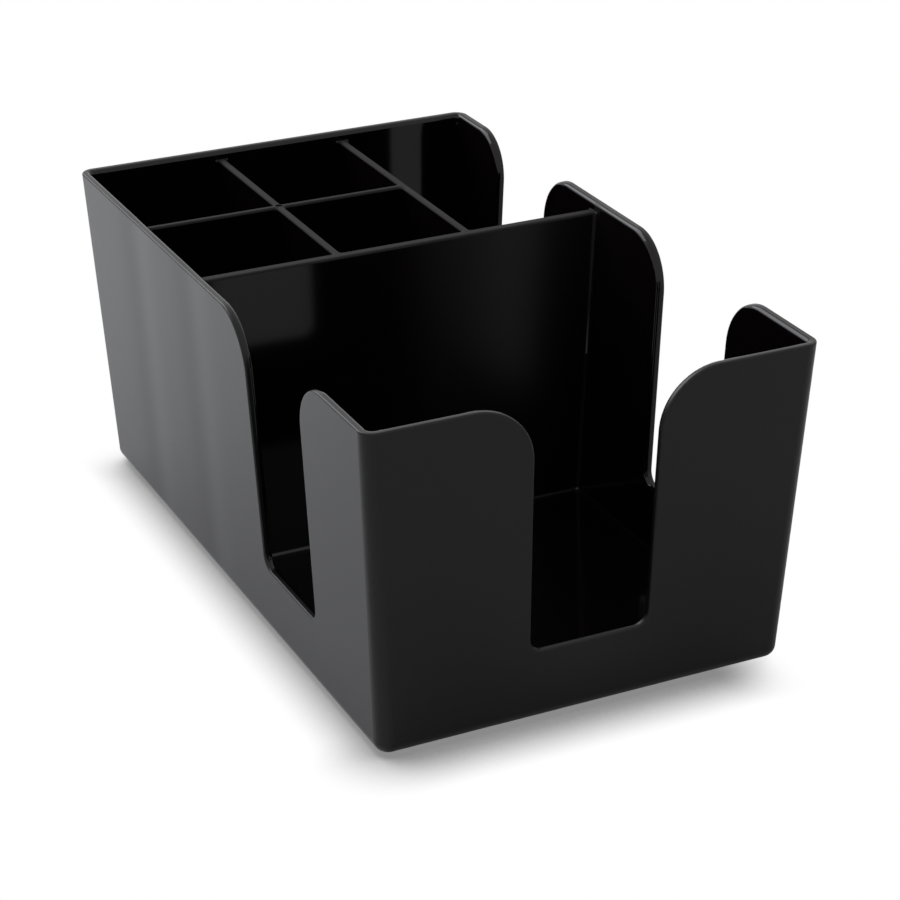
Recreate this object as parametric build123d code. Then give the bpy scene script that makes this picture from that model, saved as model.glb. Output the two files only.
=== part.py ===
"""A bar caddy: one moulded plastic body with six open compartments, standing on four rubber feet.

X runs across the caddy, Y from the napkin bay at the front to the cells at the rear, Z upwards.
The origin is on the table, under the middle of the caddy. All sizes are in millimetres.
"""
import os
from math import radians, sin, sqrt, tan

from build123d import *

# Overall size of the moulding, taken over its rim
caddy_length = 241.0
caddy_width = 146.0
body_height = 106.5

# Walls and floor
wall_thickness = 3.0
floor_thickness = 3.0
wall_draft = 3.0  # degrees that every outer wall leans outwards
corner_radius = 4.5  # upright outer corners
base_edge_radius = 4.0  # outer edge round the underside
inner_corner_radius = 1.5  # upright corners of every compartment
floor_edge_radius = 1.2  # round the floor of every compartment
rim_outer_radius = 0.6  # outer edge of the rim and of the notches
rim_inner_radius = 1.5  # their inner edge

# Dividers, which are thickest at the floor
divider_drop = 3.0  # how far their tops lie below the rim
divider_draft = 0.5  # degrees on each face
napkin_divider_thickness = 3.6
cell_divider_thickness = 2.4
divider_edge_radius = 0.8  # both edges of their tops
divider_edge_steps = 4  # flats that make up one such edge

# Compartments, measured at the tops of the dividers
napkin_bay_length = 129.5
front_cell_length = 47.7
left_cell_width = 46.8
middle_cell_width = 43.4

# Notches for fingers in the walls
notch_sill_height = 24.0  # above the underside of the moulding
notch_sill_radius = 4.5
notch_side_lean = 0.8  # degrees that each side leans outwards
front_notch_width = 39.0  # at the sill
front_notch_crown_radius = 19.0  # rounding up to the rim
napkin_notch_width = 40.0
napkin_notch_crown_radius = 17.5
coaster_notch_width = 33.0
coaster_notch_crown_radius = 16.0

# Round mark that the mould leaves where the two cell dividers cross
mould_mark_diameter = 2.4
mould_mark_depth = 0.5

# Feet
foot_diameter = 12.0
foot_thickness = 2.0
foot_standoff = 1.0  # how far a foot stands out of the underside
foot_side_clearance = 0.3
foot_inset = 15.0  # from the edges of the underside to a foot's centre
foot_edge_radius = 0.3

# Heights and a tool overrun that the sizes above lead to
underside_z = foot_standoff
floor_z = underside_z + floor_thickness
sill_z = underside_z + notch_sill_height
rim_z = underside_z + body_height
divider_top_z = rim_z - divider_drop
divider_shoulder_z = divider_top_z - divider_edge_radius
overrun = 5.0
touch = 0.01  # points closer than this count as one


def wall_inset(z):
    """How far the outer walls have come in from the rim at a height."""
    return (rim_z - z) * tan(radians(wall_draft))


def outer_half_width(z):
    return caddy_width / 2 - wall_inset(z)


def outer_half_length(z):
    return caddy_length / 2 - wall_inset(z)


def inner_half_width(z):
    return outer_half_width(z) - wall_thickness


def inner_half_length(z):
    return outer_half_length(z) - wall_thickness


def half_divider(thickness, z):
    """Half the thickness of a drafted divider at a height, with its top edges rounded."""
    drafted = thickness / 2 + (divider_top_z - z) * tan(radians(divider_draft))
    above_shoulder = min(max(0, z - divider_shoulder_z), divider_edge_radius)
    return drafted - divider_edge_radius + sqrt(divider_edge_radius**2 - above_shoulder**2)


# Middle planes of the dividers
napkin_divider_y = (
    napkin_bay_length + napkin_divider_thickness / 2 - inner_half_length(divider_top_z)
)
cross_divider_y = (
    napkin_divider_y
    + napkin_divider_thickness / 2
    + front_cell_length
    + cell_divider_thickness / 2
)
left_divider_x = left_cell_width + cell_divider_thickness / 2 - inner_half_width(divider_top_z)
coaster_divider_x = left_divider_x + cell_divider_thickness + middle_cell_width


# The faces that bound a compartment, each as a function of height
def left_wall(z):
    return -inner_half_width(z)


def right_wall(z):
    return inner_half_width(z)


def front_wall(z):
    return -inner_half_length(z)


def rear_wall(z):
    return inner_half_length(z)


def divider_face(middle, thickness, side):
    """One face of a divider: side is -1 for its left or front face and 1 for the other."""
    return lambda z: middle + side * half_divider(thickness, z)


def leaning_block(left, right, front, rear, heights, radius):
    """A block through one level rounded rectangle at each height, with flat sides between them."""
    sections = []
    for z in heights:
        width = right(z) - left(z)
        length = rear(z) - front(z)
        centre = ((left(z) + right(z)) / 2, (front(z) + rear(z)) / 2, z)
        sections.append(Plane(centre) * RectangleRounded(width, length, radius))
    return loft(sections, ruled=True)


def round_bottom_edges(block, radius):
    return fillet(block.edges().group_by(Axis.Z)[0], radius)


def outer_block():
    """The caddy's outside, as if it were solid."""
    block = leaning_block(
        lambda z: -outer_half_width(z),
        outer_half_width,
        lambda z: -outer_half_length(z),
        outer_half_length,
        (underside_z, rim_z),
        corner_radius,
    )
    return round_bottom_edges(block, base_edge_radius)


def space_above_dividers():
    heights = (divider_top_z, rim_z + overrun)
    return leaning_block(
        left_wall, right_wall, front_wall, rear_wall, heights, inner_corner_radius
    )


def compartment(left, right, front, rear):
    """The space of one compartment, from the floor to just above the dividers."""
    turns = [radians(90 * step / divider_edge_steps) for step in range(divider_edge_steps + 1)]
    rounding = [divider_shoulder_z + divider_edge_radius * sin(turn) for turn in turns]
    heights = (floor_z, *rounding, divider_top_z + divider_edge_radius)
    block = leaning_block(left, right, front, rear, heights, inner_corner_radius)
    return round_bottom_edges(block, floor_edge_radius)


def compartments():
    napkin_front = divider_face(napkin_divider_y, napkin_divider_thickness, -1)
    napkin_rear = divider_face(napkin_divider_y, napkin_divider_thickness, 1)
    cross_front = divider_face(cross_divider_y, cell_divider_thickness, -1)
    cross_rear = divider_face(cross_divider_y, cell_divider_thickness, 1)
    left_divider_left = divider_face(left_divider_x, cell_divider_thickness, -1)
    left_divider_right = divider_face(left_divider_x, cell_divider_thickness, 1)
    coaster_divider_left = divider_face(coaster_divider_x, cell_divider_thickness, -1)
    coaster_divider_right = divider_face(coaster_divider_x, cell_divider_thickness, 1)

    spaces = [
        compartment(left_wall, right_wall, front_wall, napkin_front),
        compartment(coaster_divider_right, right_wall, napkin_rear, rear_wall),
    ]
    for front, rear in ((napkin_rear, cross_front), (cross_rear, rear_wall)):
        spaces.append(compartment(left_wall, left_divider_left, front, rear))
        spaces.append(compartment(left_divider_right, coaster_divider_left, front, rear))
    return spaces


def notch(plane, middle, sill_width, crown_radius, depth):
    """A U-shaped cut whose mouth flares into the rim; depth runs along the plane's normal."""
    half_sill = sill_width / 2
    half_mouth = half_sill + (rim_z - sill_z) * tan(radians(notch_side_lean))
    reach = half_mouth + crown_radius + overrun
    corners = [
        (-half_sill, sill_z),
        (half_sill, sill_z),
        (half_mouth, rim_z),
        (reach, rim_z),
        (reach, rim_z + overrun),
        (-reach, rim_z + overrun),
        (-reach, rim_z),
        (-half_mouth, rim_z),
    ]
    outline = Pos(middle, 0) * make_face(Polyline(*corners, close=True))
    at_sill = outline.vertices().group_by(Axis.Y)[0]
    outline = fillet(at_sill, notch_sill_radius)
    at_mouth = outline.vertices().filter_by(
        lambda vertex: abs(abs(vertex.X - middle) - half_mouth) < touch
        and abs(vertex.Y - rim_z) < touch
    )
    outline = fillet(at_mouth, crown_radius)
    return extrude(plane * outline, depth)


def notches():
    """The front notch, one notch through both sides of the napkin bay, and the coaster notch."""
    half_height_z = (underside_z + rim_z) / 2
    napkin_bay_front_y = front_wall(half_height_z)
    napkin_bay_rear_y = napkin_divider_y - half_divider(napkin_divider_thickness, half_height_z)
    napkin_bay_middle_y = (napkin_bay_front_y + napkin_bay_rear_y) / 2
    coaster_bay_front_y = napkin_divider_y + napkin_divider_thickness / 2
    coaster_bay_rear_y = rear_wall(divider_top_z)
    coaster_bay_middle_y = (coaster_bay_front_y + coaster_bay_rear_y) / 2
    bay_middle_x = (coaster_divider_x + inner_half_width(rim_z)) / 2
    outside_x = caddy_width / 2 + overrun
    outside_y = caddy_length / 2 + overrun

    front_plane = Plane.XZ.offset(-napkin_bay_middle_y)
    napkin_plane = Plane.YZ.offset(-outside_x)
    coaster_plane = Plane.YZ.offset(bay_middle_x)
    return [
        notch(
            front_plane,
            0,
            front_notch_width,
            front_notch_crown_radius,
            outside_y + napkin_bay_middle_y,
        ),
        notch(
            napkin_plane,
            napkin_bay_middle_y,
            napkin_notch_width,
            napkin_notch_crown_radius,
            2 * outside_x,
        ),
        notch(
            coaster_plane,
            coaster_bay_middle_y,
            coaster_notch_width,
            coaster_notch_crown_radius,
            outside_x - bay_middle_x,
        ),
    ]


def foot_places():
    """The name and centre of each foot."""
    across = outer_half_width(underside_z) - foot_inset
    along = outer_half_length(underside_z) - foot_inset
    return {
        "foot_front_left": (-across, -along),
        "foot_front_right": (across, -along),
        "foot_rear_left": (-across, along),
        "foot_rear_right": (across, along),
    }


def foot_recesses():
    depth = foot_thickness - foot_standoff
    radius = foot_diameter / 2 + foot_side_clearance
    return [
        Pos(x, y, underside_z + depth / 2) * Cylinder(radius, depth)
        for x, y in foot_places().values()
    ]


def wall_depth(point):
    """How far a point lies inside the outer faces of the walls."""
    from_side = outer_half_width(point.Z) - abs(point.X)
    from_end = outer_half_length(point.Z) - abs(point.Y)
    return min(from_side, from_end)


def round_rim(body, cuts, depth, radius):
    """Round the edges of the rim and of the notches that lie at one depth in the walls."""

    def is_chosen(edge):
        middle = edge.position_at(0.5)
        on_rim = abs(middle.Z - rim_z) < touch
        on_notch = middle.Z > sill_z - touch and any(cut.distance_to(middle) < touch for cut in cuts)
        ends = (edge.position_at(0), edge.position_at(1))
        at_depth = all(abs(wall_depth(end) - depth) < touch for end in ends)
        return (on_rim or on_notch) and at_depth

    return fillet(body.edges().filter_by(is_chosen), radius)


def caddy_body():
    cuts = notches()
    body = outer_block() - space_above_dividers()
    body -= compartments()
    body -= cuts
    body = round_rim(body, cuts, 0, rim_outer_radius)
    body = round_rim(body, cuts, wall_thickness, rim_inner_radius)
    body -= foot_recesses()
    mark = Pos(left_divider_x, cross_divider_y, divider_top_z)
    body -= mark * Cylinder(mould_mark_diameter / 2, 2 * mould_mark_depth)
    return body


def foot(x, y):
    disc = Pos(x, y, foot_thickness / 2) * Cylinder(foot_diameter / 2, foot_thickness)
    return fillet(disc.edges().group_by(Axis.Z)[0], foot_edge_radius)


def main():
    os.makedirs("parts", exist_ok=True)
    export_step(caddy_body(), "parts/caddy_body.step")
    for name, (x, y) in foot_places().items():
        export_step(foot(x, y), f"parts/{name}.step")


main()
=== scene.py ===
"""A black moulded bar caddy on rubber feet, photographed on white under soft studio light."""
from math import cos, exp, pi, radians, sin, tan

import bpy
from bpy.props import FloatProperty, FloatVectorProperty, PointerProperty
from mathutils import Matrix, Vector


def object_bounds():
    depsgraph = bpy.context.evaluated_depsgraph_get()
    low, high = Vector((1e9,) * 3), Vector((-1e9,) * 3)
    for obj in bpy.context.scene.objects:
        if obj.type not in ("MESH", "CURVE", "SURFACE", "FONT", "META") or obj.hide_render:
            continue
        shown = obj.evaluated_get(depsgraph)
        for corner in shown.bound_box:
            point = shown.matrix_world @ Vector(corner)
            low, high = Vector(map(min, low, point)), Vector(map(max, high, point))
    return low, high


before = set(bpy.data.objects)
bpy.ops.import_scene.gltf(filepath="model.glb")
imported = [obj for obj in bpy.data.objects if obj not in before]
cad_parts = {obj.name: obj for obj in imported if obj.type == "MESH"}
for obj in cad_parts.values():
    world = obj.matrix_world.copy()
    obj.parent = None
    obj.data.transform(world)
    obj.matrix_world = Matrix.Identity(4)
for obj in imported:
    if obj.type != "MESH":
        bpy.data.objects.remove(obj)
cad_low, cad_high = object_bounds()

bl_info = {
    "name": "Bar Caddy",
    "version": (1, 0, 0),
    "blender": (4, 5, 0),
    "location": "View3D > Sidebar > Caddy",
    "description": "Finishes a moulded bar caddy and lights it on a white studio floor",
    "category": "Object",
}

MM = 0.001
MARGIN = 0.1 * MM  # how far the edge of a mask keeps from a face that lies along it
SENSOR_WIDTH = 36  # millimetres, as the camera's focal length is
WHITE = (1, 1, 1, 1)
FEET = [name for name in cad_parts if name.startswith("foot_")]

# Middle planes of the dividers
NAPKIN_DIVIDER_Y = 13.96 * MM
CROSS_DIVIDER_Y = 64.66 * MM
LEFT_DIVIDER_X = -21.84 * MM
COASTER_DIVIDER_X = 23.96 * MM

# The napkin divider's front face, which its draft tilts by less than the reach
NAPKIN_FACE_Y = NAPKIN_DIVIDER_Y - 2.5 * MM
NAPKIN_FACE_REACH = 2.0 * MM


def linear(hex_colour):
    """An sRGB hex colour as the linear numbers that shaders take."""
    channels = [int(hex_colour[i : i + 2], 16) / 255 for i in (0, 2, 4)]
    return tuple(c / 12.92 if c <= 0.04045 else ((c + 0.055) / 1.055) ** 2.4 for c in channels)


# ---------------------------------------------------------------- settings


class CaddySettings(bpy.types.PropertyGroup):
    body_colour: FloatVectorProperty(
        name="Body colour",
        description="Pigment of the black ABS",
        subtype="COLOR",
        min=0,
        max=1,
        default=linear("080506"),
    )
    body_ior: FloatProperty(
        name="Body IOR",
        description="Index of refraction of the black ABS, less than the usual 1.53 for a weaker gloss",
        default=1.34,
    )
    outside_roughness: FloatProperty(
        name="Outside roughness",
        description="Satin of the outer walls, whose mould was lightly blasted",
        subtype="FACTOR",
        min=0,
        max=1,
        default=0.34,
    )
    inside_roughness: FloatProperty(
        name="Inside roughness",
        description="Gloss of the compartments, whose mould cores were polished",
        subtype="FACTOR",
        min=0,
        max=1,
        default=0.08,
    )
    dull_roughness: FloatProperty(
        name="Dull roughness",
        description="Duller gloss of the napkin divider's right half, where its core was polished less",
        subtype="FACTOR",
        min=0,
        max=1,
        default=0.32,
    )
    dull_start: FloatProperty(
        name="Dull start",
        description="Place across the napkin divider where its gloss starts to get duller",
        unit="LENGTH",
        default=-20.0 * MM,
    )
    dull_end: FloatProperty(
        name="Dull end",
        description="Place across the napkin divider from which it is evenly dull",
        unit="LENGTH",
        default=15.0 * MM,
    )
    top_roughness: FloatProperty(
        name="Divider top roughness",
        description="Matt tops of the dividers, where the mould was left as it was cut",
        subtype="FACTOR",
        min=0,
        max=1,
        default=0.75,
    )
    wall_thickness: FloatProperty(
        name="Wall thickness",
        description="Thickness of the outer walls",
        unit="LENGTH",
        default=3.0 * MM,
    )
    wall_draft: FloatProperty(
        name="Wall draft",
        description="Angle that the outer walls lean outwards",
        subtype="ANGLE",
        default=radians(3.0),
    )
    divider_drop: FloatProperty(
        name="Divider drop",
        description="How far the tops of the dividers lie below the rim",
        unit="LENGTH",
        default=3.0 * MM,
    )
    divider_rounding: FloatProperty(
        name="Divider rounding",
        description="Radius of the edges of those tops",
        unit="LENGTH",
        default=0.8 * MM,
    )
    grain_width: FloatProperty(
        name="Grain width",
        description="Width that one grain of the satin is drawn at",
        unit="LENGTH",
        default=0.45 * MM,
    )
    grain_depth: FloatProperty(
        name="Grain depth",
        description="Depth of the grain of the satin and of the rubber",
        unit="LENGTH",
        default=0.1 * MM,
    )
    grain_strength: FloatProperty(
        name="Grain strength",
        description="How clearly the grain of the satin shows",
        subtype="FACTOR",
        min=0,
        max=1,
        default=0.35,
    )
    sink_depth: FloatProperty(
        name="Sink depth",
        description="Depth of the hollows that the dividers leave in the outer walls",
        unit="LENGTH",
        default=0.35 * MM,
    )
    sink_half_width: FloatProperty(
        name="Sink half width",
        description="Distance from the middle of such a hollow to where a third of its depth is left",
        unit="LENGTH",
        default=11.0 * MM,
    )
    rubber_colour: FloatVectorProperty(
        name="Rubber colour",
        description="Colour of the feet",
        subtype="COLOR",
        min=0,
        max=1,
        default=linear("1C1C1D"),
    )
    rubber_roughness: FloatProperty(
        name="Rubber roughness",
        description="Matt skin of the feet",
        subtype="FACTOR",
        min=0,
        max=1,
        default=0.75,
    )
    rubber_grain_width: FloatProperty(
        name="Rubber grain width",
        description="Width of one speckle of the rubber",
        unit="LENGTH",
        default=0.6 * MM,
    )
    rubber_grain_strength: FloatProperty(
        name="Rubber grain strength",
        description="How clearly the speckles of the rubber show",
        subtype="FACTOR",
        min=0,
        max=1,
        default=0.2,
    )


class StudioSettings(bpy.types.PropertyGroup):
    floor_size: FloatProperty(
        name="Floor size",
        description="Side of the white floor",
        unit="LENGTH",
        default=6.0,
    )
    paper_colour: FloatVectorProperty(
        name="Paper colour",
        description="Colour of the floor in the light that it throws on matt surfaces",
        subtype="COLOR",
        min=0,
        max=1,
        default=linear("EDEDED"),
    )
    fill_strength: FloatProperty(
        name="Fill strength",
        description="Light that the white room sends to matt surfaces",
        default=0.52,
    )
    key_strength: FloatProperty(
        name="Key strength",
        description="Light of the softbox on the floor, where 1 lights a white floor to white",
        default=0.5,
    )
    key_colour: FloatVectorProperty(
        name="Key colour",
        description="Cool daylight of the softbox",
        subtype="COLOR",
        min=0,
        max=1,
        default=linear("F4F7FF"),
    )
    key_size: FloatProperty(
        name="Key size",
        description="Side of the softbox, which sets how soft its light is",
        unit="LENGTH",
        default=0.5,
    )
    key_distance: FloatProperty(
        name="Key distance",
        description="Distance from the softbox to the middle of the floor",
        unit="LENGTH",
        default=0.65,
    )
    key_azimuth: FloatProperty(
        name="Key azimuth",
        description="Where the softbox stands round the caddy, 0 in front and negative to the left",
        subtype="ANGLE",
        default=radians(-150.0),
    )
    key_elevation: FloatProperty(
        name="Key elevation",
        description="Angle of the softbox above the horizon",
        subtype="ANGLE",
        default=radians(45.0),
    )
    shadow_depth: FloatProperty(
        name="Shadow depth",
        description="How dark the soft shadow on the floor is at its darkest, where 1 is black",
        subtype="FACTOR",
        min=0,
        max=1,
        default=0.79,
    )
    shadow_core: FloatProperty(
        name="Shadow core",
        description="How shut in a place has to be for the evenly dark part of the shadow",
        subtype="FACTOR",
        min=0,
        max=1,
        default=0.96,
    )
    shadow_falloff: FloatProperty(
        name="Shadow falloff",
        description="Power that thins the shadow out towards its edge",
        default=1.35,
    )
    shadow_side: FloatVectorProperty(
        name="Shadow side",
        description="Direction from the floor that the shadow is gathered from, towards the caddy",
        subtype="DIRECTION",
        default=(0.3, 0.62, 0.72),
    )
    front_shadow_reach: FloatProperty(
        name="Front shadow reach",
        description="How far the shadow spreads in front of the caddy",
        unit="LENGTH",
        default=20.5 * MM,
    )
    side_shadow_reach: FloatProperty(
        name="Side shadow reach",
        description="How far the shadow spreads beside the caddy",
        unit="LENGTH",
        default=15.0 * MM,
    )
    shadow_turn_start: FloatProperty(
        name="Shadow turn start",
        description="Place along the caddy, at its front, up to which the front reach holds",
        unit="LENGTH",
        default=-115.0 * MM,
    )
    shadow_turn_end: FloatProperty(
        name="Shadow turn end",
        description="Place along the caddy from which the side reach holds",
        unit="LENGTH",
        default=-95.0 * MM,
    )
    shadow_fade_start: FloatProperty(
        name="Shadow fade start",
        description="Place across the caddy where the shadow starts to fade to the right",
        unit="LENGTH",
        default=45.0 * MM,
    )
    shadow_fade_end: FloatProperty(
        name="Shadow fade end",
        description="Place across the caddy where the shadow has faded out",
        unit="LENGTH",
        default=72.0 * MM,
    )
    camera_place: FloatVectorProperty(
        name="Camera place",
        description="Where the camera stands",
        subtype="TRANSLATION",
        unit="LENGTH",
        default=(-0.33181, -0.71903, 0.41186),
    )
    camera_azimuth: FloatProperty(
        name="Camera azimuth",
        description="Angle of the view round the caddy, 0 from the front and negative from the left",
        subtype="ANGLE",
        default=radians(-25.43),
    )
    camera_elevation: FloatProperty(
        name="Camera elevation",
        description="Angle of the view above the horizon",
        subtype="ANGLE",
        default=radians(25.33),
    )
    camera_roll: FloatProperty(
        name="Camera roll",
        description="Turn of the camera about its line of sight",
        subtype="ANGLE",
        default=radians(-0.382),
    )
    lens: FloatProperty(
        name="Focal length",
        description="Focal length in millimetres on a 36 mm sensor",
        unit="CAMERA",
        default=106.85,
    )


# ---------------------------------------------------------------- helpers


def node(tree, kind, inputs=None, **options):
    """Adds a shader node, sets its options, and sets or links its inputs.

    A node that is given as an input stands for its first output.
    """
    new = tree.nodes.new(kind)
    for name, value in options.items():
        setattr(new, name, value)
    for name, value in (inputs or {}).items():
        if isinstance(value, bpy.types.Node):
            value = value.outputs[0]
        if isinstance(value, bpy.types.NodeSocket):
            tree.links.new(value, new.inputs[name])
        else:
            new.inputs[name].default_value = value
    return new


def direction(azimuth, elevation):
    """The direction at an angle round the caddy, 0 to its front, and at an angle above the floor."""
    return Vector((sin(azimuth) * cos(elevation), -cos(azimuth) * cos(elevation), sin(elevation)))


def new_material(name):
    material = bpy.data.materials.new(name)
    material.use_nodes = True
    material.node_tree.nodes.clear()
    return material


def give_material(piece, material):
    piece.data.materials.clear()
    piece.data.materials.append(material)


# ---------------------------------------------------------------- the body's material


def depth_in_walls(tree, x, y, z, settings):
    """How far a point lies inside the drafted outer walls, which is 0 on their outside."""
    slope = tan(settings.wall_draft)
    depths = []
    for place, rim_half_size in ((x, cad_high.x), (y, cad_high.y)):
        floor_half_size = rim_half_size - cad_high.z * slope
        half_size = node(
            tree,
            "ShaderNodeMath",
            {0: z, 1: slope, 2: floor_half_size},
            operation="MULTIPLY_ADD",
        )
        away = node(tree, "ShaderNodeMath", {0: place}, operation="ABSOLUTE")
        depth = node(tree, "ShaderNodeMath", {0: half_size, 1: away}, operation="SUBTRACT")
        depths.append(depth)
    return node(tree, "ShaderNodeMath", dict(enumerate(depths)), operation="MINIMUM")


def divider_top_mask(tree, z, depth, settings):
    """1 on the tops of the dividers with their rounded edges, and 0 elsewhere."""
    highest = cad_high.z - settings.divider_drop + MARGIN
    lowest = cad_high.z - settings.divider_drop - settings.divider_rounding
    middle = (lowest + highest) / 2
    reach = (highest - lowest) / 2
    is_level = node(tree, "ShaderNodeMath", {0: z, 1: middle, 2: reach}, operation="COMPARE")
    clear_of_walls = settings.wall_thickness + MARGIN
    is_within = node(tree, "ShaderNodeMath", {0: depth, 1: clear_of_walls}, operation="GREATER_THAN")
    return node(tree, "ShaderNodeMath", {0: is_level, 1: is_within}, operation="MULTIPLY")


def sink_mark(tree, place, middle, settings):
    """The sink mark opposite one divider: 1 in its middle, and fading like a bell curve."""
    away = node(tree, "ShaderNodeMath", {0: place, 1: middle}, operation="SUBTRACT")
    share = node(tree, "ShaderNodeMath", {0: away, 1: settings.sink_half_width}, operation="DIVIDE")
    square = node(tree, "ShaderNodeMath", {0: share, 1: share}, operation="MULTIPLY")
    return node(tree, "ShaderNodeMath", {0: exp(-1), 1: square}, operation="POWER")


def sink_marks(tree, x, y, settings):
    """The normal of the outer walls, which the dividers draw in a little as they cool."""
    napkin_mark = sink_mark(tree, y, NAPKIN_DIVIDER_Y, settings)
    cross_mark = sink_mark(tree, y, CROSS_DIVIDER_Y, settings)
    on_sides = node(tree, "ShaderNodeMath", {0: napkin_mark, 1: cross_mark}, operation="ADD")

    # The cell dividers end at the napkin divider, so they leave no mark in the front wall
    left_mark = sink_mark(tree, x, LEFT_DIVIDER_X, settings)
    coaster_mark = sink_mark(tree, x, COASTER_DIVIDER_X, settings)
    both = node(tree, "ShaderNodeMath", {0: left_mark, 1: coaster_mark}, operation="ADD")
    is_rear = node(tree, "ShaderNodeMath", {0: y, 1: NAPKIN_DIVIDER_Y}, operation="GREATER_THAN")

    marks = node(tree, "ShaderNodeMath", {0: both, 1: is_rear, 2: on_sides}, operation="MULTIPLY_ADD")
    height = node(tree, "ShaderNodeMath", {0: marks, 1: -settings.sink_depth}, operation="MULTIPLY")
    # At a distance of 1 the height is in metres
    return node(tree, "ShaderNodeBump", {"Height": height, "Distance": 1.0})


def satin_grain(tree, place, is_outside, sinks, settings):
    """The normal of the walls with the satin's grain on their outside.

    A lightly blasted mould leaves a grain of about 0.1 mm. That is too fine to show in the
    render, so it is drawn as coarse as it needs to show.
    """
    grain = node(
        tree,
        "ShaderNodeTexNoise",
        {"Vector": place, "Scale": 1 / settings.grain_width, "Detail": 2.0, "Roughness": 0.6},
    )
    height = node(tree, "ShaderNodeMath", {0: grain, 1: is_outside}, operation="MULTIPLY")
    return node(
        tree,
        "ShaderNodeBump",
        {
            "Height": height,
            "Strength": settings.grain_strength,
            "Distance": settings.grain_depth,
            "Normal": sinks,
        },
    )


def body_roughness(tree, x, y, is_outside, is_top, settings):
    """Satin outside, glossy inside, duller on part of the napkin divider, and matt on the tops."""
    dulled = node(
        tree,
        "ShaderNodeMapRange",
        {
            "Value": x,
            "From Min": settings.dull_start,
            "From Max": settings.dull_end,
            "To Min": settings.inside_roughness,
            "To Max": settings.dull_roughness,
        },
        interpolation_type="SMOOTHSTEP",
    )
    is_face = node(
        tree,
        "ShaderNodeMath",
        {0: y, 1: NAPKIN_FACE_Y, 2: NAPKIN_FACE_REACH},
        operation="COMPARE",
    )
    glossy = node(
        tree,
        "ShaderNodeMix",
        {"Factor": is_face, "A": settings.inside_roughness, "B": dulled},
    )
    inside = node(
        tree,
        "ShaderNodeMix",
        {"Factor": is_top, "A": glossy, "B": settings.top_roughness},
    )
    return node(
        tree,
        "ShaderNodeMix",
        {"Factor": is_outside, "A": inside, "B": settings.outside_roughness},
    )


def make_abs_material(settings):
    """Black ABS, injection moulded.

    To the eye its outside is a soft satin that shows broad pale gradients, and its inside is
    near black with clear reflections, as the mould was blasted outside and polished inside.
    """
    material = new_material("Black ABS, moulded")
    tree = material.node_tree
    place = node(tree, "ShaderNodeTexCoord").outputs["Object"]
    x, y, z = node(tree, "ShaderNodeSeparateXYZ", {0: place}).outputs
    depth = depth_in_walls(tree, x, y, z, settings)
    mid_wall = 0.5 * settings.wall_thickness
    is_outside = node(tree, "ShaderNodeMath", {0: depth, 1: mid_wall}, operation="LESS_THAN")
    is_top = divider_top_mask(tree, z, depth, settings)
    sinks = sink_marks(tree, x, y, settings)
    shader = node(
        tree,
        "ShaderNodeBsdfPrincipled",
        {
            "Base Color": (*settings.body_colour, 1),
            "Roughness": body_roughness(tree, x, y, is_outside, is_top, settings),
            "IOR": settings.body_ior,
            "Normal": satin_grain(tree, place, is_outside, sinks, settings),
        },
    )
    node(tree, "ShaderNodeOutputMaterial", {"Surface": shader})
    return material


# ---------------------------------------------------------------- other materials


def make_rubber_material(settings):
    """Black rubber, moulded: matt to the eye, so it stays dark and has no clear reflection."""
    material = new_material("Black rubber, moulded")
    tree = material.node_tree
    place = node(tree, "ShaderNodeTexCoord").outputs["Object"]
    speckles = node(
        tree,
        "ShaderNodeTexNoise",
        {"Vector": place, "Scale": 1 / settings.rubber_grain_width},
    )
    surface = node(
        tree,
        "ShaderNodeBump",
        {
            "Height": speckles,
            "Strength": settings.rubber_grain_strength,
            "Distance": settings.grain_depth,
        },
    )
    shader = node(
        tree,
        "ShaderNodeBsdfPrincipled",
        {
            "Base Color": (*settings.rubber_colour, 1),
            "Roughness": settings.rubber_roughness,
            "Normal": surface,
        },
    )
    node(tree, "ShaderNodeOutputMaterial", {"Surface": shader})
    return material


def contact_shadow(tree, settings):
    """How dark the soft shadow of the caddy is at a point of the floor, where 1 is black."""
    place = node(tree, "ShaderNodeTexCoord").outputs["Object"]
    across, along = node(tree, "ShaderNodeSeparateXYZ", {0: place}).outputs[:2]
    reach = node(
        tree,
        "ShaderNodeMapRange",
        {
            "Value": along,
            "From Min": settings.shadow_turn_start,
            "From Max": settings.shadow_turn_end,
            "To Min": settings.front_shadow_reach,
            "To Max": settings.side_shadow_reach,
        },
        interpolation_type="SMOOTHSTEP",
    )
    side = node(tree, "ShaderNodeCombineXYZ", dict(zip("XYZ", settings.shadow_side)))
    open_share = node(
        tree,
        "ShaderNodeAmbientOcclusion",
        {"Distance": reach, "Normal": side},
    ).outputs["AO"]
    hidden = node(tree, "ShaderNodeMath", {0: 1.0, 1: open_share}, operation="SUBTRACT")

    # The share that the caddy hides from a point right at the foot of its front wall
    towards_rear, upwards = settings.shadow_side[1:]
    most_hidden = (towards_rear + upwards) / 2
    closed = node(tree, "ShaderNodeMath", {0: hidden, 1: most_hidden}, operation="DIVIDE")
    closed = node(tree, "ShaderNodeMath", {0: closed, 1: settings.shadow_core}, operation="MINIMUM")
    soft = node(tree, "ShaderNodeMath", {0: closed, 1: settings.shadow_falloff}, operation="POWER")
    depth = node(
        tree,
        "ShaderNodeMapRange",
        {
            "Value": across,
            "From Min": settings.shadow_fade_start,
            "From Max": settings.shadow_fade_end,
            "To Min": settings.shadow_depth,
            "To Max": 0.0,
        },
        interpolation_type="SMOOTHSTEP",
    )
    return node(tree, "ShaderNodeMath", {0: soft, 1: depth}, operation="MULTIPLY")


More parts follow.
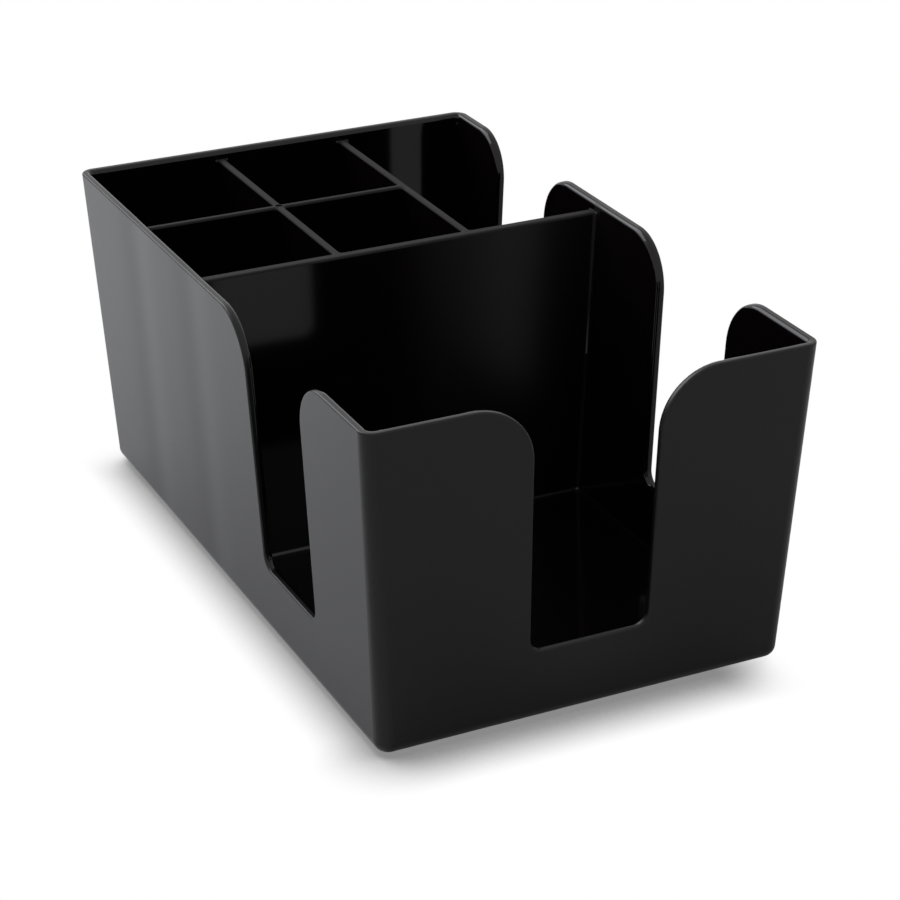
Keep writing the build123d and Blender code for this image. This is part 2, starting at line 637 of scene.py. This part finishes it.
def make_paper_material(settings):
    """White sweep paper, calendered.

    To the eye it is matt and overexposed to plain white, with only the caddy's soft shadow.
    """
    material = new_material("White paper sweep")
    tree = material.node_tree
    path = node(tree, "ShaderNodeLightPath").outputs
    is_mirrored = node(
        tree,
        "ShaderNodeMath",
        {0: path["Is Glossy Ray"], 1: path["Is Transmission Ray"]},
        operation="MAXIMUM",
    )
    colour = node(
        tree,
        "ShaderNodeMix",
        {"Factor": is_mirrored, "A": (*settings.paper_colour, 1), "B": WHITE},
        data_type="RGBA",
    ).outputs["Result"]
    lit = node(tree, "ShaderNodeBsdfDiffuse", {"Color": colour})

    shadow = contact_shadow(tree, settings)
    brightness = node(tree, "ShaderNodeMath", {0: 1.0, 1: shadow}, operation="SUBTRACT")
    seen = node(tree, "ShaderNodeEmission", {"Color": WHITE, "Strength": brightness})
    surface = node(tree, "ShaderNodeMixShader", {0: path["Is Camera Ray"], 1: lit, 2: seen})
    node(tree, "ShaderNodeOutputMaterial", {"Surface": surface})
    return material


def make_white_room(settings):
    """A white surrounding that lights matt surfaces softly and that gloss reflects as white."""
    world = bpy.data.worlds.new("White room")
    bpy.context.scene.world = world
    world.use_nodes = True
    world.cycles.sampling_method = "NONE"  # the room is even, so no part of it needs more rays
    tree = world.node_tree
    tree.nodes.clear()
    path = node(tree, "ShaderNodeLightPath").outputs
    is_seen = path["Is Camera Ray"]
    for ray in ("Is Glossy Ray", "Is Transmission Ray"):
        is_seen = node(tree, "ShaderNodeMath", {0: is_seen, 1: path[ray]}, operation="MAXIMUM")
    strength = node(
        tree,
        "ShaderNodeMix",
        {"Factor": is_seen, "A": settings.fill_strength, "B": 1.0},
    )
    room = node(tree, "ShaderNodeBackground", {"Color": WHITE, "Strength": strength})
    node(tree, "ShaderNodeOutputWorld", {"Surface": room})


# ---------------------------------------------------------------- operators


class CADDY_OT_body(bpy.types.Operator):
    """Finish the moulded body"""

    bl_idname = "caddy.body"
    bl_label = "Finish body"

    def execute(self, context):
        give_material(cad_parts["caddy_body"], make_abs_material(context.scene.caddy))
        return {"FINISHED"}


class CADDY_OT_feet(bpy.types.Operator):
    """Finish the rubber feet"""

    bl_idname = "caddy.feet"
    bl_label = "Finish feet"

    def execute(self, context):
        rubber = make_rubber_material(context.scene.caddy)
        for name in FEET:
            give_material(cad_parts[name], rubber)
        return {"FINISHED"}


class CADDY_OT_stage(bpy.types.Operator):
    """Set up the white floor, the light and the camera"""

    bl_idname = "caddy.stage"
    bl_label = "Set up stage"

    def execute(self, context):
        settings = context.scene.studio
        self.add_floor(context, settings)
        make_white_room(settings)
        self.add_softbox(context, settings)
        self.add_camera(context, settings)
        context.scene.view_settings.view_transform = "Standard"
        return {"FINISHED"}

    def add_floor(self, context, settings):
        bpy.ops.object.select_all(action="DESELECT")
        bpy.ops.mesh.primitive_plane_add(size=settings.floor_size)
        floor = context.active_object
        floor.name = "floor"
        give_material(floor, make_paper_material(settings))

    def add_softbox(self, context, settings):
        towards = direction(settings.key_azimuth, settings.key_elevation)
        bpy.ops.object.light_add(type="AREA", location=settings.key_distance * towards)
        lamp = context.active_object
        lamp.name = "softbox"
        lamp.rotation_euler = towards.to_track_quat("Z", "Y").to_euler()
        lamp.visible_camera = False
        lamp.data.color = settings.key_colour
        lamp.data.size = settings.key_size
        # How bright each watt makes the middle of a white floor
        brightness = sin(settings.key_elevation) / (pi * settings.key_distance) ** 2
        lamp.data.energy = settings.key_strength / brightness

    def add_camera(self, context, settings):
        bpy.ops.object.camera_add()
        camera = context.active_object
        camera.name = "camera"
        back = direction(settings.camera_azimuth, settings.camera_elevation)
        level_right = Vector((0, 0, 1)).cross(back).normalized()
        level_up = back.cross(level_right)
        roll = settings.camera_roll
        right = cos(roll) * level_right + sin(roll) * level_up
        up = cos(roll) * level_up - sin(roll) * level_right
        axes = Matrix((right, up, back)).transposed().to_4x4()
        camera.matrix_world = Matrix.Translation(settings.camera_place) @ axes
        camera.data.sensor_width = SENSOR_WIDTH
        camera.data.lens = settings.lens
        context.scene.camera = camera


class CADDY_PT_sidebar(bpy.types.Panel):
    bl_label = "Bar caddy"
    bl_idname = "CADDY_PT_sidebar"
    bl_space_type = "VIEW_3D"
    bl_region_type = "UI"
    bl_category = "Caddy"

    def draw(self, context):
        for group in (context.scene.caddy, context.scene.studio):
            for name in group.__annotations__:
                self.layout.prop(group, name)
        for operator in OPERATORS:
            self.layout.operator(operator.bl_idname)


OPERATORS = (CADDY_OT_body, CADDY_OT_feet, CADDY_OT_stage)
CLASSES = (CaddySettings, StudioSettings, *OPERATORS, CADDY_PT_sidebar)


def register():
    for item in CLASSES:
        bpy.utils.register_class(item)
    bpy.types.Scene.caddy = PointerProperty(type=CaddySettings)
    bpy.types.Scene.studio = PointerProperty(type=StudioSettings)


def unregister():
    del bpy.types.Scene.studio
    del bpy.types.Scene.caddy
    for item in reversed(CLASSES):
        bpy.utils.unregister_class(item)


def main():
    register()
    bpy.ops.caddy.body()
    bpy.ops.caddy.feet()
    bpy.ops.caddy.stage()


if __name__ == "__main__":
    main()
